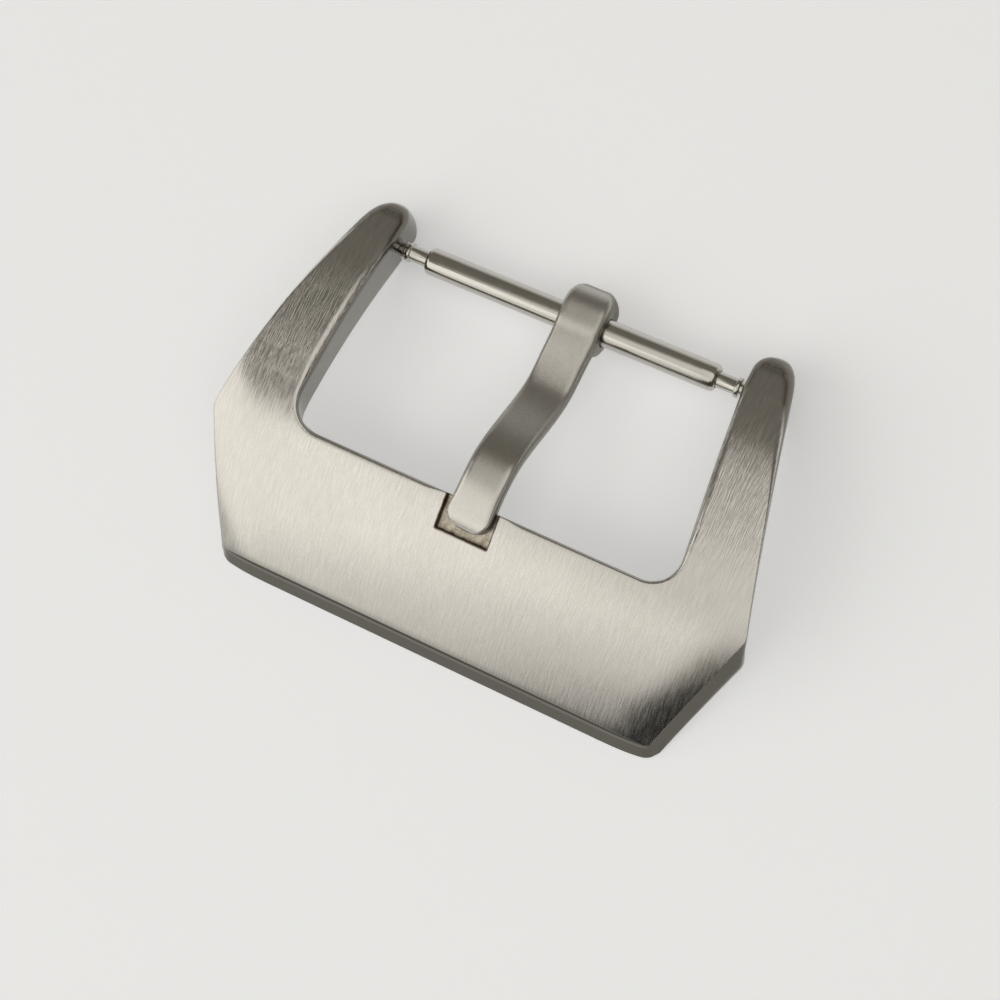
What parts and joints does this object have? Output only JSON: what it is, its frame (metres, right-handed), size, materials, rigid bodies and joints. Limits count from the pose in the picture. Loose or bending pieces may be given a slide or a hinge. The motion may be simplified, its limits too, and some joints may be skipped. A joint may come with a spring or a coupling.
{
  "type": "watch buckle",
  "caption": "Broad brushed-steel strap buckle with an arched front plate, cut corners and a waved tongue on a sprung bar",
  "frame": {"origin": "middle of the buckle's outline, on the plane that it rests on", "axes": "+X along the bar, across the strap; +Y towards the lugs that hold the bar; +Z out of the arched top face, away from the wrist"},
  "size_m": [0.0372, 0.026, 0.0066],
  "materials": {
    "brushed_frame": "fine brushing along the length, from the front wall to the lugs",
    "brushed_tongue": "satin, a little blasted on its upper side, softly rounded edges",
    "polished_tube": "drawn and polished",
    "turned_tip": "turned",
    "spring_wire": "drawn spring wire"
  },
  "bodies": {
    "frame": {"frame": "brushed_frame"},
    "tongue": {"tongue": "brushed_tongue"},
    "bar": {"spring_bar_tube": "polished_tube", "spring_bar_spring": "spring_wire"},
    "tip_left": {"spring_bar_tip_left": "turned_tip"},
    "tip_right": {"spring_bar_tip_right": "turned_tip"}
  },
  "joints": [
    {"name": "tongue_swing", "type": "hinge", "parent": "frame", "child": "tongue", "pos_m": [0, 0.0104, 0.00225], "axis": [-1, 0, 0], "range_deg": [0, 338]},
    {"name": "tube_spin", "type": "hinge", "parent": "frame", "child": "bar", "pos_m": [0, 0.0104, 0.00225], "axis": [1, 0, 0], "continuous": true},
    {"name": "tip_left_push", "type": "slide", "parent": "bar", "child": "tip_left", "axis": [1, 0, 0], "range_m": [0, 0.00115], "stiffness_N_per_m": 500, "springref_m": -0.002, "deforming": ["spring_bar_spring"]},
    {"name": "tip_right_push", "type": "slide", "parent": "bar", "child": "tip_right", "axis": [-1, 0, 0], "range_m": [0, 0.00115], "stiffness_N_per_m": 500, "springref_m": -0.002, "deforming": ["spring_bar_spring"]}
  ]
}
